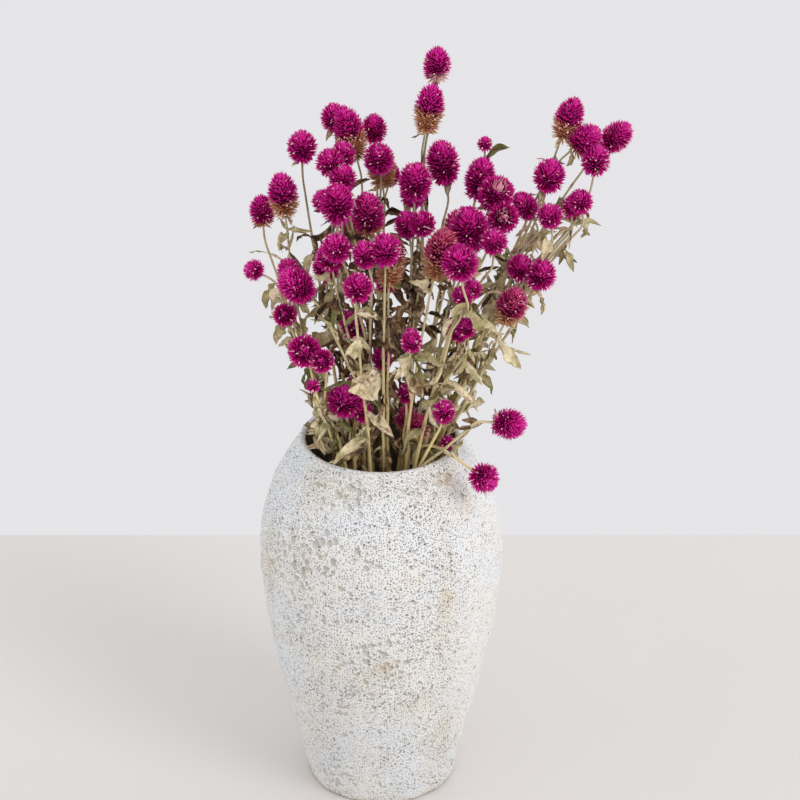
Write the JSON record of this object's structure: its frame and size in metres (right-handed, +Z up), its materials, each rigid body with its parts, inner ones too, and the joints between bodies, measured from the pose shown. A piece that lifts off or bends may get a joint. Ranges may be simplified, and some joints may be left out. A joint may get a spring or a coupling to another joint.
{
  "type": "dried_flower_vase",
  "caption": "Tall shouldered ceramic vase with a pitted volcanic glaze, holding a loose fan-shaped bunch of dried magenta globe amaranth on thin straw-coloured stems with curled leaves",
  "frame": {"origin": "middle of the vase's flat underside", "axes": "+Z up along the vase's axis, -Y towards the viewer, +X to the viewer's right"},
  "size_m": [0.2369, 0.1556, 0.496],
  "materials": {
    "vase_glaze": "matt pitted volcanic glaze",
    "dried_stem": "dry, straw and olive",
    "bloom": "papery magenta bracts with straw bases"
  },
  "bodies": {
    "root": {"head_bud_high": "bloom", "head_bud_low": "bloom", "head_centre_front": "bloom", "head_centre_high": "bloom", "head_centre_right": "bloom", "head_crown_right": "bloom", "head_crown_round": "bloom", "head_crown_tall": "bloom", "head_droop_low": "bloom", "head_droop_side": "bloom", "head_face_left": "bloom", "head_far_dark": "bloom", "head_far_left": "bloom", "head_far_small": "bloom", "head_far_tip": "bloom", "head_far_top": "bloom", "head_front_bright": "bloom", "head_front_leafy": "bloom", "head_front_small": "bloom", "head_inner_left": "bloom", "head_inner_low": "bloom", "head_inner_middle": "bloom", "head_left_big": "bloom", "head_left_far": "bloom", "head_left_front": "bloom", "head_left_high": "bloom", "head_left_tall": "bloom", "head_low_left_big": "bloom", "head_low_left_round": "bloom", "head_low_left_tip": "bloom", "head_middle_tall": "bloom", "head_mouth_small": "bloom", "head_neck_red": "bloom", "head_neck_right": "bloom", "head_neck_wide": "bloom", "head_rear_left": "bloom", "head_rear_right": "bloom", "head_right_big": "bloom", "head_right_bright": "bloom", "head_right_inner": "bloom", "head_right_low": "bloom", "head_right_open": "bloom", "head_right_slant": "bloom", "head_right_under": "bloom", "head_second": "bloom", "head_side_faded": "bloom", "head_side_round": "bloom", "head_top": "bloom", "head_upper_left": "bloom", "plant_crown": "dried_stem", "plant_front": "dried_stem", "plant_left": "dried_stem", "plant_left_back": "dried_stem", "plant_left_front": "dried_stem", "plant_middle": "dried_stem", "plant_right": "dried_stem", "plant_right_far": "dried_stem", "plant_right_front": "dried_stem", "plant_tall": "dried_stem", "vase": "vase_glaze"}
  },
  "joints": []
}
